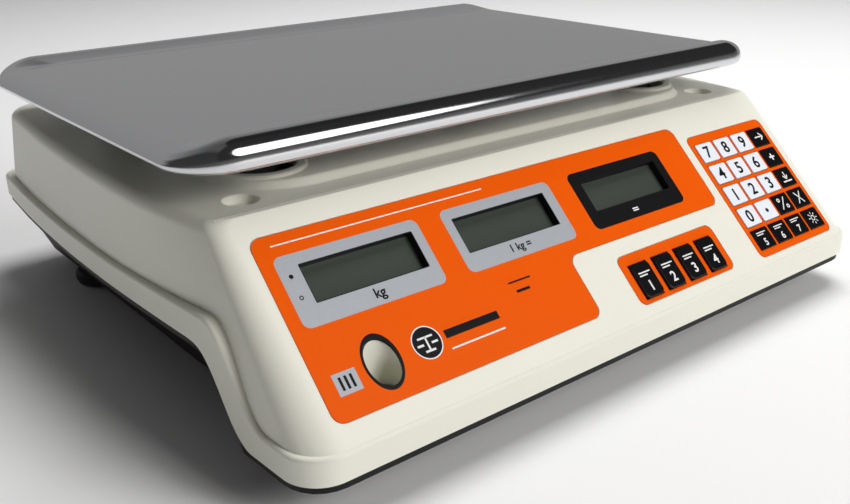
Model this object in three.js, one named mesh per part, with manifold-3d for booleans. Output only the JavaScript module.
// Counter-top price computing scale: a stainless pan on a load cell, a sloped operator
// panel with three displays and two key groups, and a second display on the back.
// Millimetres, +X to the operator's right, +Y away from the operator, +Z up.
// The origin is on the table, under the middle of the object's box.
import * as THREE from "three";
import { mergeVertices } from "three/addons/utils/BufferGeometryUtils.js";
import Module from "manifold-3d";

const wasm = await Module();
wasm.setup();

// ---- Driving dimensions -------------------------------------------------------------
const GAP = 0.3; // between touching pieces
const FOOT_DROP = 10; // base floor above the table, feet screwed in

const TOP_Z = 95; // panel's top edge above the table
const PANEL_TOP_Y = -96.4;
const PANEL_ANGLE = THREE.MathUtils.degToRad(44.2);
const BODY_FRONT = -166.1;
const BODY_REAR = 166.1;
const WALL = 2.6;
const SKIRT_STEP = 2; // skirt stands this far outside the walls
const SKIRT_HALF_WIDTH = 179; // at its widest
const WIDEST_Y = -20;
const BOW_FRONT = 3.8; // the sides curve in by this much at the front and rear ends
const BOW_REAR = 11.5;
const FRONT_CORNER = 16;
const REAR_CORNER = 15;

// Height of the skirt's ridge and of the cover's lower edge along the depth of the body.
const RIDGE_FRONT_Z = 29;
const RIDGE_SIDE_Z = 59;
const RIDGE_KNEE_Z = 63;
const EDGE_FRONT_Z = 18;
const EDGE_SIDE_Z = 48;
const EDGE_KNEE_Z = 50;
const KNEE_Y = -107; // where ridge and edge start their drop to the front
const DROP_END_Y = -132;
const REAR_Z_DROP = 3.5; // both lines sink this much again towards the rear
const DRAFT = { side: 4, rear: 11 }; // how far the walls lean in at the rear, up to the deck
const FRONT_NARROWING = 8; // how much narrower the deck gets at its front, on each side

const RIM = 2.5; // rounding of the deck's rim
const PLATEAU = { half: 146, front: -82, rear: 146, corner: 34, rise: 3 }; // raised deck
const POST = { x: 121.8, front: -52.6, rear: 94 };
const COLLAR = { outer: 20.6, bore: 16, rise: 1.6 };
const DIMPLE = { x: 145.4, front: -79, rear: 140, radius: 7, depth: 4 };

const PAN = { length: 350, depth: 233.4, middleY: 20.7, corner: 24, sheet: 1.2 };
const PAN_LIP_Z = 110.9;
const PAN_DISH_Z = 120.4;
const PAN_ROLL_Z = 123.4;

const TRAY = { half: 156, front: -163.4, rear: 160, corner: 14, wall: 2.5, flange: 3.2 };
const TRAY_FLARE = 10; // the tray's walls curve out over this height above its floor
const FEET = { x: 139, front: -72, rear: 104, radius: 15, stud: 4, thread: 16, boss: 9 };

// Panel coordinates: u to the right, v down the slope from the panel's top edge.
const MAIN_SHEET = { left: -157.5, right: 88.6, top: 10.4, bottom: 86, notchLeft: -20.4, notchTop: 56.5 };
const KEYPAD_SHEET = { left: 94.6, right: 159.3, top: 18.4, bottom: 90.8 };
const PRICE_SHEET = { left: 4, right: 73.1, top: 64.8, bottom: 89.4 };
const KEYPAD_HOLE = { left: 97, right: 157, top: 22.6, bottom: 88.2 };
const PRICE_HOLE = { left: 7.8, right: 69.2, top: 69.2, bottom: 88 };
const SHEET = 0.5; // printed sheets lie in pockets this deep plus GAP
const PAST = 5; // cutters start this far outside a surface
const THROUGH = 12; // and reach this far in, past the wall
const WINDOW = { width: 54.2, height: 17.3, middleV: 32.85 };
const WINDOW_U = { mass: -115.9, unit_price: -41.1, total_price: 36.7 };
const PRINT_LAP = 0.4; // the printed sheets overlap the windows' rims by this much
const LCD = { width: 60, height: 23, thick: 2.8, depth: 3.4 };
const KEY = { width: 13.2, height: 10.8, pitchU: 15.2, pitchV: 13.15, firstU: 104.3, firstV: 29 };
const KEY_RISE = 0.5;
const KEY_SKIRT = 1.2; // cap below the panel's surface
const KEY_TRAVEL_ROOM = 1; // plunger to board
const PRICE_KEY = { width: 12.2, height: 17.1, pitchU: 15.95, firstU: 14.5, middleV: 78.7 };
const PRICE_KEY_RISE = 1.2;
const BOARD = { top: -6.5, thick: 1.6, left: -148, right: 158, step: 2 };
const LEVEL = { u: -129, v: 70.2, bore: 7.5, wall: 1.8, vialTop: 33, vialHeight: 9 };

const REAR_SHEET = { half: 150, bottom: 60, top: 88 };
const REAR_WINDOW = { middleZ: 76, spacing: 96 };
const REAR_FACE = 153.4; // upright face of the rear sheet, let into the leaning wall
const REAR_PAD = 2; // wall left behind the rear sheet

const LOAD_CELL = { length: 130, width: 30, height: 22, bottom: 30, hole: 8, end: 34 };
const CELL_Y = (POST.front + POST.rear) / 2;
const OVERLOAD_GAP = 0.8; // load cell to the frame's boss
const FRAME = { top: 86, plate: 4, rail: 11, cross: 26, rib: 7 };
const POST_ROD = { radius: 8, top: 106 };
const POST_PAD = { wall: 3.4, bottom: 100, bevel: 2 };
const INSIDE_FLOOR = FOOT_DROP + TRAY.wall + GAP;
const WALL_X = TRAY.half + 3.4; // the switch's and inlet's outer face

const SWITCH = { y: 36, z: 25.5, width: 19, height: 13 };
const INLET = { y: 68, z: 25.5, width: 16, height: 14, socket: 9, deep: 11 };

// ---- Colours --------------------------------------------------------------------------
const finish = (color, roughness, metalness = 0) =>
  new THREE.MeshStandardMaterial({ color, roughness, metalness });
const cream = finish(0xe6e5d8, 0.45);
const steel = finish(0xb8babd, 0.15, 1);
const black = finish(0x121212, 0.55);
const rubber = finish(0x1a1a1a, 0.85);
const orange = finish(0xe55c05, 0.5);
const glass = finish(0x3e423a, 0.15);
const white = finish(0xe4e6e8, 0.45);
const keyBlack = finish(0x17181b, 0.4);
const board = finish(0x1f5c3a, 0.6);
const alloy = finish(0xa9abad, 0.35, 1);
const zinc = finish(0x9fa3a6, 0.4, 1);
const amber = finish(0xc9d36a, 0.1);
const grey = finish(0x2c2f33, 0.6);

// ---- Solids ---------------------------------------------------------------------------
// A geometry as a solid that can be joined and cut.
function solid(geometry) {
  const bare = geometry.index ? geometry.toNonIndexed() : geometry.clone();
  bare.deleteAttribute("normal");
  bare.deleteAttribute("uv");
  const merged = mergeVertices(bare, 1e-4);
  const mesh = new wasm.Mesh({
    numProp: 3,
    vertProperties: merged.attributes.position.array,
    triVerts: new Uint32Array(merged.index.array),
  });
  return new wasm.Manifold(mesh);
}

const cut = (from, ...tools) => tools.reduce((a, b) => a.subtract(b), from);
const join = (first, ...others) => others.reduce((a, b) => a.add(b), first);

// A solid back as a geometry.
function geometryOf(body) {
  const m = body.getMesh();
  const positions = new Float32Array(m.numVert * 3);
  for (let i = 0; i < m.numVert; i++)
    positions.set(m.vertProperties.subarray(i * m.numProp, i * m.numProp + 3), i * 3);
  const g = new THREE.BufferGeometry();
  g.setAttribute("position", new THREE.BufferAttribute(positions, 3));
  g.setIndex(new THREE.BufferAttribute(new Uint32Array(m.triVerts), 1));
  return g;
}

function piece(name, shape, material) {
  const geometry = shape.isBufferGeometry ? shape : geometryOf(shape);
  const mesh = new THREE.Mesh(geometry, material);
  mesh.name = name;
  return mesh;
}

// A box between two corners.
function block(low, high) {
  const size = high.map((v, i) => v - low[i]);
  const middle = high.map((v, i) => (v + low[i]) / 2);
  return new THREE.BoxGeometry(...size).translate(...middle);
}

// An upright cylinder.
const post = (x, y, bottom, top, radius, sides = 24) =>
  new THREE.CylinderGeometry(radius, radius, top - bottom, sides)
    .rotateX(Math.PI / 2)
    .translate(x, y, (top + bottom) / 2);

// A profile of radius and height turned about the upright axis.
const turned = (profile, sides) =>
  new THREE.LatheGeometry(profile.map(([r, z]) => new THREE.Vector2(r, z)), sides)
    .rotateX(Math.PI / 2);

// A rounded rectangle as a shape.
function roundedShape(left, bottom, right, top, r) {
  const s = new THREE.Shape();
  s.moveTo(left + r, bottom);
  s.lineTo(right - r, bottom);
  s.absarc(right - r, bottom + r, r, -Math.PI / 2, 0);
  s.lineTo(right, top - r);
  s.absarc(right - r, top - r, r, 0, Math.PI / 2);
  s.lineTo(left + r, top);
  s.absarc(left + r, top - r, r, Math.PI / 2, Math.PI);
  s.lineTo(left, bottom + r);
  s.absarc(left + r, bottom + r, r, Math.PI, Math.PI * 1.5);
  return s;
}

// A shape as a plate between two heights.
const plate = (shape, low, high, curveSegments = 4) =>
  new THREE.ExtrudeGeometry(shape, { depth: high - low, bevelEnabled: false, curveSegments })
    .translate(0, 0, low);

// A closed surface through rings of equally many points, flat across both ends.
function loft(rings) {
  const count = rings[0].length;
  const positions = rings.flat().flatMap((p) => [p.x, p.y, p.z]);
  const index = [];
  for (let k = 0; k + 1 < rings.length; k++)
    for (let i = 0; i < count; i++) {
      const a = k * count + i;
      const b = k * count + ((i + 1) % count);
      index.push(a, b, b + count, a, b + count, a + count);
    }
  [0, rings.length - 1].forEach((k) => {
    const flat = rings[k].map((p) => new THREE.Vector2(p.x, p.y));
    THREE.ShapeUtils.triangulateShape(flat, []).forEach(([a, b, c]) => {
      const tri = [k * count + a, k * count + b, k * count + c];
      index.push(...(k ? tri : tri.reverse()));
    });
  });
  const g = new THREE.BufferGeometry();
  g.setAttribute("position", new THREE.Float32BufferAttribute(positions, 3));
  g.setIndex(index);
  return g;
}

// ---- The housing's outline ------------------------------------------------------------
// Half the skirt's width at a depth y: widest in the middle, bowed in towards both ends.
function skirtHalf(y) {
  const bow = y < WIDEST_Y ? BOW_FRONT : BOW_REAR;
  const reach = y < WIDEST_Y ? WIDEST_Y - BODY_FRONT : BODY_REAR - WIDEST_Y;
  return SKIRT_HALF_WIDTH - bow * ((y - WIDEST_Y) / reach) ** 2;
}

// The plan outline with bowed sides, moved in by inset and by taper more at the rear end,
// anticlockwise from above.
function outline(front, rear, inset, z, corners = [FRONT_CORNER, REAR_CORNER], taper = 0, narrow = 0) {
  const points = [];
  const half = (y) => skirtHalf(y) - inset - (taper * (y - front)) / (rear - front) -
    narrow * (Math.max(WIDEST_Y - y, 0) / (WIDEST_Y - front)) ** 2;
  const arc = (cx, cy, r, from) => {
    for (let i = 0; i <= 6; i++) {
      const t = from + (i / 6) * (Math.PI / 2);
      points.push(new THREE.Vector3(cx + r * Math.cos(t), cy + r * Math.sin(t), z));
    }
  };
  const side = (sign, from, to) => {
    for (let i = 1; i < 8; i++) {
      const y = from + (i / 8) * (to - from);
      points.push(new THREE.Vector3(sign * half(y), y, z));
    }
  };
  const [rf, rr] = corners;
  const yf = front + rf;
  const yr = rear - rr;
  const xf = half(yf) - rf;
  const xr = half(yr) - rr;
  arc(xf, yf, rf, -Math.PI / 2);
  side(1, yf, yr);
  arc(xr, yr, rr, 0);
  arc(-xr, yr, rr, Math.PI / 2);
  side(-1, yr, yf);
  arc(-xf, yf, rf, Math.PI);
  return points;
}

// Front of the sloped panel at a height.
const panelY = (z) => PANEL_TOP_Y - (TOP_Z - z) / Math.tan(PANEL_ANGLE);

// The space below a line z(y), wider than the body.
function below(line) {
  const s = new THREE.Shape();
  s.moveTo(-200, -20);
  line.forEach(([y, z]) => s.lineTo(y, z));
  s.lineTo(200, -20);
  return new THREE.ExtrudeGeometry(s, { depth: 400, bevelEnabled: false })
    .translate(0, 0, -200)
    .applyMatrix4(new THREE.Matrix4().set(0, 0, 1, 0, 1, 0, 0, 0, 0, 1, 0, 0, 0, 0, 0, 1));
}

// The line of the cover's lower edge, and of the ridge above it, shifted up by rise.
const edgeLine = (rise = 0) => [
  [-200, EDGE_FRONT_Z + rise],
  [DROP_END_Y + 9, EDGE_FRONT_Z + rise],
  [KNEE_Y + 5, EDGE_KNEE_Z - 2 + rise],
  [KNEE_Y + 12, EDGE_KNEE_Z + rise],
  [WIDEST_Y, EDGE_SIDE_Z + rise],
  [BODY_REAR, EDGE_SIDE_Z - REAR_Z_DROP + rise],
  [200, EDGE_SIDE_Z - REAR_Z_DROP + rise],
];
const ridgeLine = [
  [-200, RIDGE_FRONT_Z],
  [DROP_END_Y, RIDGE_FRONT_Z],
  [KNEE_Y - 2, RIDGE_KNEE_Z],
  [WIDEST_Y, RIDGE_SIDE_Z],
  [BODY_REAR, RIDGE_SIDE_Z - REAR_Z_DROP],
  [200, RIDGE_SIDE_Z - REAR_Z_DROP],
];

// Sloped part of the housing above the ridge, moved in by inset all round.
function upperBody(inset) {
  const top = TOP_Z - inset;
  const shift = inset / Math.sin(PANEL_ANGLE);
  const ring = (z, extra, lean) => {
    const rear = BODY_REAR - SKIRT_STEP - inset - extra - lean * DRAFT.rear;
    const narrow = lean * FRONT_NARROWING;
    const rounding = [FRONT_CORNER - Math.min(inset, 4) - narrow, REAR_CORNER - inset + 5 * lean];
    return outline(panelY(z) + shift + extra, rear, SKIRT_STEP + inset + extra, z, rounding,
      lean * DRAFT.side, narrow);
  };
  const foot = ring(RIDGE_FRONT_Z, 0, 0);
  const low = foot.map((p) => new THREE.Vector3(p.x, p.y, 0));
  return loft([low, foot, ring(top - RIM, 0, 1), ring(top - 0.7, 0.7, 1), ring(top, RIM, 1)]);
}

// The skirt's outline as an upright prism, moved in by inset.
const skirt = (inset, low, high) =>
  solid(loft([low, high].map((z) => outline(BODY_FRONT + inset, BODY_REAR - inset, inset, z))));

// ---- Panel frame ----------------------------------------------------------------------
const panelMatrix = new THREE.Matrix4()
  .makeRotationX(PANEL_ANGLE)
  .setPosition(0, PANEL_TOP_Y, TOP_Z);
const onPanel = (geometry) => solid(geometry.applyMatrix4(panelMatrix));

const sheetShape = (s, r = 4, grow = 0) =>
  roundedShape(s.left - grow, -s.bottom - grow, s.right + grow, -s.top + grow, r);

// The main sheet: a rectangle with its lower right part cut away for the price keys.
function mainSheetShape(grow = 0) {
  const { left, right, top, bottom, notchLeft, notchTop } = MAIN_SHEET;
  const r = 5;
  const x0 = left - grow;
  const x1 = right + grow;
  const y0 = -bottom - grow;
  const y1 = -top + grow;
  const nx = notchLeft + grow;
  const ny = -notchTop - grow;
  const s = new THREE.Shape();
  s.moveTo(x0 + r, y0);
  s.lineTo(nx - r, y0);
  s.absarc(nx - r, y0 + r, r, -Math.PI / 2, 0);
  s.lineTo(nx, ny - r);
  s.absarc(nx + r, ny - r, r, Math.PI, Math.PI / 2, true);
  s.lineTo(x1 - r, ny);
  s.absarc(x1 - r, ny + r, r, -Math.PI / 2, 0);
  s.lineTo(x1, y1 - r);
  s.absarc(x1 - r, y1 - r, r, 0, Math.PI / 2);
  s.lineTo(x0 + r, y1);
  s.absarc(x0 + r, y1 - r, r, Math.PI / 2, Math.PI);
  s.lineTo(x0, y0 + r);
  s.absarc(x0 + r, y0 + r, r, Math.PI, Math.PI * 1.5);
  return s;
}

const windowBox = (u, low, high, grow = 0) =>
  block(
    [u - WINDOW.width / 2 - grow, -WINDOW.middleV - WINDOW.height / 2 - grow, low],
    [u + WINDOW.width / 2 + grow, -WINDOW.middleV + WINDOW.height / 2 + grow, high],
  );

// The upright well over the spirit level, in world coordinates.
const levelPlace = new THREE.Vector3(LEVEL.u, -LEVEL.v, 0).applyMatrix4(panelMatrix);
const levelPost = (radius, low, high) =>
  solid(post(levelPlace.x, levelPlace.y, low, high, radius, 28));

// ---- Cover ----------------------------------------------------------------------------
const corners = (at) =>
  [-1, 1].flatMap((side) => [at.front, at.rear].map((y) => [side * at.x, y]));

function deckShape(inset) {
  const { half, front, rear, corner } = PLATEAU;
  return roundedShape(inset - half, front + inset, half - inset, rear - inset, corner - inset);
}

// The raised middle of the deck with a stepped rim, and the four rings round the posts.
function deckRelief() {
  const step = (inset, low, high) =>
    solid(plate(deckShape(inset), TOP_Z + low, TOP_Z + high, 5));
  const rings = corners(POST).map(([x, y]) =>
    solid(post(x, y, TOP_Z - 2, TOP_Z + PLATEAU.rise + COLLAR.rise, COLLAR.outer, 36)));
  return join(step(0, -2.2, PLATEAU.rise - 1), step(2.5, 0, PLATEAU.rise), ...rings);
}

// Pockets for the three printed sheets, with the windows and key openings through them.
function panelPockets() {
  const pocket = (shape) => onPanel(plate(shape, -SHEET - GAP, PAST));
  const hole = (area) => onPanel(plate(sheetShape(area, 1), -THROUGH, PAST));
  const seatRim = (LCD.width - WINDOW.width) / 2 + GAP;
  return [
    pocket(mainSheetShape(GAP)),
    pocket(sheetShape(KEYPAD_SHEET, 4, GAP)),
    pocket(sheetShape(PRICE_SHEET, 4, GAP)),
    hole(KEYPAD_HOLE),
    hole(PRICE_HOLE),
    ...Object.values(WINDOW_U).flatMap((u) => [
      onPanel(windowBox(u, -THROUGH, PAST)),
      onPanel(windowBox(u, -THROUGH, -LCD.depth + GAP, seatRim)),
    ]),
  ];
}

// A box over one of the rear windows, between two depths.
function rearWindow(i, front, rear, grow = 0) {
  const x = i * REAR_WINDOW.spacing;
  const halfWidth = WINDOW.width / 2 + grow;
  const halfHeight = WINDOW.height / 2 + grow;
  return solid(block([x - halfWidth, front, REAR_WINDOW.middleZ - halfHeight],
    [x + halfWidth, rear, REAR_WINDOW.middleZ + halfHeight]));
}

function rearPockets() {
  const { half, bottom, top } = REAR_SHEET;
  const pocket = block([-half - GAP, REAR_FACE - SHEET - GAP, bottom - GAP],
    [half + GAP, BODY_REAR, top + GAP]);
  const windows = [-1, 0, 1].map((i) => rearWindow(i, REAR_FACE - THROUGH, BODY_REAR));
  return [solid(pocket), ...windows];
}

// Thickening inside the rear wall that carries the upright face.
const rearPad = () =>
  solid(block([-REAR_SHEET.half - 3, REAR_FACE - SHEET - GAP - REAR_PAD, REAR_SHEET.bottom - 3],
    [REAR_SHEET.half + 3, BODY_REAR, REAR_SHEET.top + 3])).intersect(solid(upperBody(0.3)));

function upperCover() {
  const ridge = solid(below(ridgeLine));
  const shell = join(solid(upperBody(0)), skirt(0, 0, 80).intersect(ridge), deckRelief());
  const underRidge = solid(below(ridgeLine.map(([y, z]) => [y, z - WALL])));
  const hollow = join(
    solid(upperBody(WALL)),
    solid(plate(deckShape(4), TOP_Z - 6, TOP_Z + PLATEAU.rise - WALL, 5)),
    skirt(WALL, -5, 75).intersect(underRidge),
  );
  const wellTop = levelPlace.z + 12;
  const wellWall = levelPost(LEVEL.bore + LEVEL.wall, LEVEL.vialTop - LEVEL.vialHeight, wellTop);
  const dimpleWalls = corners(DIMPLE).map(([x, y]) =>
    solid(post(x, y, TOP_Z - DIMPLE.depth - 2, TOP_Z - 1, DIMPLE.radius + 2)));
  const body = join(
    cut(shell, solid(below(edgeLine())), hollow),
    wellWall.intersect(solid(upperBody(0.2))),
    rearPad(),
    ...dimpleWalls,
  );
  const bores = corners(POST).map(([x, y]) =>
    solid(post(x, y, TOP_Z - 20, TOP_Z + 20, COLLAR.bore, 36)));
  const dimples = corners(DIMPLE).map(([x, y]) =>
    solid(post(x, y, TOP_Z - DIMPLE.depth, TOP_Z + 20, DIMPLE.radius)));
  return cut(body, ...panelPockets(), ...rearPockets(), ...bores, ...dimples,
    levelPost(LEVEL.bore, 0, wellTop));
}

// ---- Base tray ------------------------------------------------------------------------
function trayRing(z, grow) {
  const s = roundedShape(-TRAY.half - grow, TRAY.front - Math.min(grow, 1), TRAY.half + grow,
    TRAY.rear + grow, TRAY.corner);
  const ring = s.extractPoints(5).shape;
  return ring.map((p) => new THREE.Vector3(p.x, p.y, z));
}

// A box through the tray's right wall for a fitting, with clearance round it.
function wallHole({ y, z, width, height }) {
  return solid(block([TRAY.half - 8, y - width / 2 - GAP, z - height / 2 - GAP],
    [TRAY.half + 12, y + width / 2 + GAP, z + height / 2 + GAP]));
}

// A shallow tub with flared walls and a flange all round, cut to the cover's lower edge.
function baseTray() {
  const floor = FOOT_DROP;
  const { wall } = TRAY;
  const outside = loft([trayRing(floor, -4), trayRing(floor + TRAY_FLARE, 0), trayRing(80, 2.5)]);
  const inside = loft([trayRing(floor + wall, -4 - wall), trayRing(floor + TRAY_FLARE + 2, -wall),
    trayRing(90, 2.5 - wall)]);
  const flangeHole = solid(loft([trayRing(-5, 0), trayRing(90, 0)]));
  const under = solid(below(edgeLine(-GAP)));
  const lowered = solid(below(edgeLine(-GAP - TRAY.flange)));
  const rim = cut(skirt(1.2, 0, 80), flangeHole).intersect(under);
  const tub = join(solid(outside).intersect(under), cut(rim, lowered));
  const bosses = corners(FEET).map(([x, y]) =>
    solid(post(x, y, floor + 1, floor + FEET.thread, FEET.boss, 20)));
  const studHoles = corners(FEET).map(([x, y]) =>
    solid(post(x, y, 0, 60, FEET.stud + GAP, 16)));
  return cut(join(cut(tub, solid(inside)), ...bosses), ...studHoles,
    wallHole(SWITCH), wallHole(INLET));
}

// ---- Feet -----------------------------------------------------------------------------
const footStud = () => post(0, 0, 4.4, FOOT_DROP + FEET.thread - 4, FEET.stud, 16);

// A rubber foot, open in the middle for the stud's head.
function footPad() {
  const { radius, stud } = FEET;
  const top = FOOT_DROP - GAP - 0.6;
  const profile = [[0, 0], [radius - 3, 0], [radius - 0.8, 1.2], [radius, 3.4], [radius, 6.4],
    [radius - 1.5, 8.2], [stud + 3, top], [stud + GAP, top], [stud + GAP, 4], [0, 4]];
  return turned(profile, 28);
}

// ---- Pan ------------------------------------------------------------------------------
// One ring of the pan. The long edges carry a raised roll and the short ends bend down in a
// wide curve, so inset and height are given for both and blend round the corners.
function panRing(longInset, longZ, shortInset, shortZ) {
  const halfX = PAN.length / 2 - shortInset;
  const halfY = PAN.depth / 2 - longInset;
  const r = Math.max(PAN.corner - (longInset + shortInset) / 2, 3);
  const points = [];
  [[1, -1, -90], [1, 1, 0], [-1, 1, 90], [-1, -1, 180]].forEach(([sx, sy, start]) => {
    for (let i = 0; i <= 8; i++) {
      const t = THREE.MathUtils.degToRad(start + i * 11.25);
      const towardsEnd = Math.cos(t) ** 2;
      points.push(new THREE.Vector3(
        sx * (halfX - r) + r * Math.cos(t),
        PAN.middleY + sy * (halfY - r) + r * Math.sin(t),
        THREE.MathUtils.lerp(longZ, shortZ, towardsEnd),
      ));
    }
  });
  return points;
}

// Pressed sheet: the outside from the lip up and over to the dish, then back inside it.
function weighingPan() {
  const t = PAN.sheet;
  const lip = PAN_LIP_Z;
  const dish = PAN_DISH_Z;
  const roll = PAN_ROLL_Z;
  // Rows of inset and height on the long edges, then inset and height on the short ends.
  const outside = [
    [2.6, lip, 3, lip],
    [0.7, lip + 1, 1, lip + 0.8],
    [0, lip + 3.4, 0, lip + 2.6],
    [0.5, roll - 4.4, 1, dish - 4.6],
    [2.8, roll - 1.4, 4.6, dish - 1.6],
    [7, roll, 9, dish - 0.3],
    [12, roll - 0.9, 14, dish],
    [20, dish, 22, dish],
  ];
  const inside = [
    [20, dish - t, 22, dish - t],
    [12, roll - 0.9 - t, 14, dish - t],
    [7, roll - t, 9, dish - 0.3 - t],
    [3.6, roll - 1.4 - t, 5.2, dish - 1.6 - t],
    [1.7, roll - 5, 2.2, dish - 5],
    [1.2, lip + 3.4, 1.2, lip + 2.8],
    [1.8, lip + 1.9, 2.2, lip + 1.8],
    [3.4, lip + 1, 3.8, lip + 1],
  ];
  return loft([...inside, ...outside].map((row) => panRing(...row)));
}

// ---- Platform and load cell -----------------------------------------------------------
// A cast frame: two rails carry the posts, a ribbed cross bar carries the load cell's boss.
function platformFrame() {
  const { top, plate: thick, rail, cross, rib } = FRAME;
  const { x, front, rear } = POST;
  const low = top - thick;
  const bar = (left, near, bottom, right, far, high) =>
    solid(block([left, near, bottom], [right, far, high]));
  const rails = [-1, 1].map((s) => bar(s * x - rail, front - rail, low, s * x + rail, rear + rail, top));
  const ribs = [-14, 14].map((y) =>
    bar(-x, CELL_Y + y - 1.5, low - rib, x, CELL_Y + y + 1.5, low + 1));
  const { length, width, height, bottom, end } = LOAD_CELL;
  const boss = bar(-length / 2, CELL_Y - width / 2, bottom + height + OVERLOAD_GAP,
    end - length / 2, CELL_Y + width / 2, low + 1);
  const posts = corners(POST).map(([px, py]) =>
    solid(post(px, py, low, POST_ROD.top, POST_ROD.radius, 24)));
  return join(...rails, bar(-x, CELL_Y - cross, low, x, CELL_Y + cross, top), ...ribs, boss, ...posts);
}

// A rubber cap over the end of a post, just under the pan.
function postPad() {
  const bore = POST_ROD.radius + GAP;
  const outer = POST_ROD.radius + POST_PAD.wall;
  const high = PAN_DISH_Z - PAN.sheet - GAP;
  const roof = POST_ROD.top + GAP;
  const { bottom, bevel } = POST_PAD;
  return turned([[bore, bottom], [outer, bottom], [outer, high - bevel], [outer - bevel, high],
    [0, high], [0, roof], [bore, roof], [bore, bottom]], 24);
}

// A beam with a binocular slot, which lets it bend in parallel.
function loadCell() {
  const { length, width, height, bottom, hole } = LOAD_CELL;
  const middleZ = bottom + height / 2;
  const beam = solid(block([-length / 2, CELL_Y - width / 2, bottom],
    [length / 2, CELL_Y + width / 2, bottom + height]));
  const bores = [-12, 12].map((x) =>
    solid(new THREE.CylinderGeometry(hole, hole, width + 4, 20).translate(x, CELL_Y, middleZ)));
  const slot = solid(block([-12, CELL_Y - width, middleZ - 2], [12, CELL_Y + width, middleZ + 2]));
  return cut(beam, ...bores, slot);
}

// The steel block under the cell's fixed end.
const loadCellBlock = () =>
  block([LOAD_CELL.length / 2 - LOAD_CELL.end, CELL_Y - LOAD_CELL.width / 2, INSIDE_FLOOR],
    [LOAD_CELL.length / 2, CELL_Y + LOAD_CELL.width / 2, LOAD_CELL.bottom - GAP]);

// ---- Sheets, displays, boards, keys ---------------------------------------------------
function mainSheet() {
  const windows = Object.values(WINDOW_U).map((u) => onPanel(windowBox(u, -PAST, PAST, -PRINT_LAP)));
  const sheet = onPanel(plate(mainSheetShape(), -SHEET, 0));
  return cut(sheet, ...windows, levelPost(LEVEL.bore, 0, TOP_Z));
}

const KEY_ROWS = [
  ["7", "8", "9", "price_recall"],
  ["4", "5", "6", "memory_add"],
  ["1", "2", "3", "tare"],
  ["0", "point", "unit_price", "clear"],
  ["price_5", "price_6", "price_7", "backlight"],
];
const WHITE_KEYS = ["0", "1", "2", "3", "4", "5", "6", "7", "8", "9", "point"];

const gridKey = (label, row, column) => ({
  ...KEY,
  name: "key_" + label,
  u: KEY.firstU + column * KEY.pitchU,
  v: KEY.firstV + row * KEY.pitchV,
  rise: KEY_RISE,
  material: WHITE_KEYS.includes(label) ? white : keyBlack,
});
const priceKey = (number) => ({
  ...PRICE_KEY,
  name: "key_price_" + number,
  u: PRICE_KEY.firstU + (number - 1) * PRICE_KEY.pitchU,
  v: PRICE_KEY.middleV,
  rise: PRICE_KEY_RISE,
  material: keyBlack,
});
const keys = [
  ...KEY_ROWS.flatMap((labels, row) => labels.map((label, column) => gridKey(label, row, column))),
  ...[1, 2, 3, 4].map(priceKey),
];

// A printed sheet with an opening round each of the keys that lie within it.
function keySheet(area) {
  const openings = keys
    .filter((k) => k.u > area.left && k.u < area.right && k.v > area.top && k.v < area.bottom)
    .map((k) => solid(block([k.u - k.width / 2 - GAP, -k.v - k.height / 2 - GAP, -PAST],
      [k.u + k.width / 2 + GAP, -k.v + k.height / 2 + GAP, PAST])));
  return cut(solid(plate(sheetShape(area), -SHEET, 0)), ...openings);
}

// A key cap with a plunger that reaches down to its switch on the board.
function keyCap({ width, height, rise }) {
  const shape = roundedShape(-width / 2, -height / 2, width / 2, height / 2, 1.2);
  const plunger = block([-2, -2, BOARD.top + KEY_TRAVEL_ROOM], [2, 2, -KEY_SKIRT + 0.2]);
  return join(solid(plate(shape, -KEY_SKIRT, rise, 2)), solid(plunger));
}

const display = () =>
  block([-LCD.width / 2, -LCD.height / 2, -LCD.depth - LCD.thick],
    [LCD.width / 2, LCD.height / 2, -LCD.depth]);

// The board behind the panel: a strip under the displays and a wider part under the keys.
function frontBoard() {
  const { top, thick, left, right, step } = BOARD;
  return join(
    solid(block([left, -46, top - thick], [right, -20, top])),
    solid(block([step, -88, top - thick], [right, -45, top])),
  );
}

function rearSheet() {
  const { half, bottom, top } = REAR_SHEET;
  const windows = [-1, 0, 1].map((i) =>
    rearWindow(i, REAR_FACE - PAST, REAR_FACE + PAST, -PRINT_LAP));
  return cut(solid(block([-half, REAR_FACE - SHEET, bottom], [half, REAR_FACE, top])), ...windows);
}

// ---- Electrical pieces ----------------------------------------------------------------
function powerInlet() {
  const { y, z, width, height, socket, deep } = INLET;
  const body = solid(block([WALL_X - 16, y - width / 2, z - height / 2],
    [WALL_X, y + width / 2, z + height / 2]));
  const hole = solid(new THREE.CylinderGeometry(socket / 2, socket / 2, deep * 2, 20)
    .rotateZ(Math.PI / 2).translate(WALL_X, y, z));
  return cut(body, hole);
}

// The rocker lies along the wall and tips about an upright axis at its middle.
function rocker() {
  const half = SWITCH.width / 2 - 2;
  const height = SWITCH.height - 3;
  const profile = [[-3, -half], [0.4, -half], [1.1, 0], [0.4, half], [-3, half]];
  const shape = new THREE.Shape(profile.map(([x, y]) => new THREE.Vector2(x, y)));
  return plate(shape, -height / 2, height / 2);
}

function switchFrame() {
  const y = SWITCH.width / 2;
  const z = SWITCH.height / 2;
  const outer = solid(block([-14, -y, -z], [0, y, z]));
  return cut(outer, solid(block([-8, 1.6 - y, 1.1 - z], [PAST, y - 1.6, z - 1.1])));
}

// ---- Assembly -------------------------------------------------------------------------
const scale = new THREE.Group();
const add = (mesh, x = 0, y = 0, z = 0) => {
  mesh.position.set(x, y, z);
  scale.add(mesh);
};

add(piece("upper_cover", upperCover(), cream));
add(piece("base_tray", baseTray(), black));

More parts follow.
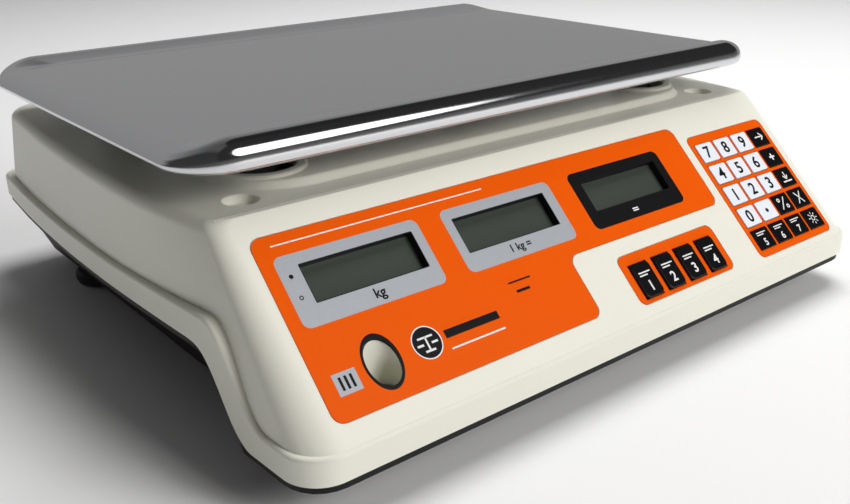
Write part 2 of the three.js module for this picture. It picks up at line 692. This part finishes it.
const placeName = (x, y) => (y < 0 ? "front_" : "rear_") + (x < 0 ? "left" : "right");
corners(FEET).forEach(([x, y]) => {
  add(piece("foot_stud_" + placeName(x, y), footStud(), zinc), x, y, 0);
  add(piece("foot_pad_" + placeName(x, y), footPad(), rubber), x, y, 0);
});

add(piece("weighing_pan", weighingPan(), steel));
add(piece("platform_frame", platformFrame(), alloy));
corners(POST).forEach(([x, y]) => {
  add(piece("post_pad_" + placeName(x, y), postPad(), rubber), x, y, 0);
});
add(piece("load_cell", loadCell(), alloy));
add(piece("load_cell_block", loadCellBlock(), alloy));
add(piece("main_overlay", mainSheet(), orange));

const panel = new THREE.Group();
panel.applyMatrix4(panelMatrix);
scale.add(panel);
panel.add(piece("keypad_overlay", keySheet(KEYPAD_SHEET), orange));
panel.add(piece("price_key_overlay", keySheet(PRICE_SHEET), orange));
panel.add(piece("front_board", frontBoard(), board));
for (const [name, u] of Object.entries(WINDOW_U)) {
  const pane = piece(name + "_display", display(), glass);
  pane.position.set(u, -WINDOW.middleV, 0);
  panel.add(pane);
}
for (const key of keys) {
  const cap = piece(key.name, keyCap(key), key.material);
  cap.position.set(key.u, -key.v, 0);
  panel.add(cap);
}

// Behind the rear windows, counted as read by the customer.
const REAR_INSIDE = REAR_FACE - SHEET - 2 * GAP - REAR_PAD;
[1, 0, -1].forEach((place, k) => {
  const pane = block([-LCD.width / 2, -2, -LCD.height / 2], [LCD.width / 2, 0, LCD.height / 2]);
  add(piece("rear_display_" + (k + 1), pane, glass),
    place * REAR_WINDOW.spacing, REAR_INSIDE, REAR_WINDOW.middleZ);
});
add(piece("rear_overlay", rearSheet(), orange));
add(piece("rear_board", block([-140, REAR_INSIDE - 4.2, 62], [140, REAR_INSIDE - 2.6, 89]), board));

add(piece("level_vial", post(0, 0, -LEVEL.vialHeight, 0, LEVEL.bore - GAP, 24), amber),
  levelPlace.x, levelPlace.y, LEVEL.vialTop);

add(piece("main_board", block([-118, -95, 6], [-8, -45, 7.6]), board), 0, 0, INSIDE_FLOOR);
add(piece("battery", block([20, -112, 0], [90, -65, 47]), grey), 0, 0, INSIDE_FLOOR);

add(piece("power_switch_frame", switchFrame(), black), WALL_X, SWITCH.y, SWITCH.z);
add(piece("power_rocker", rocker(), black), WALL_X + 0.4, SWITCH.y, SWITCH.z);
add(piece("power_inlet", powerInlet(), black));

export default scale;
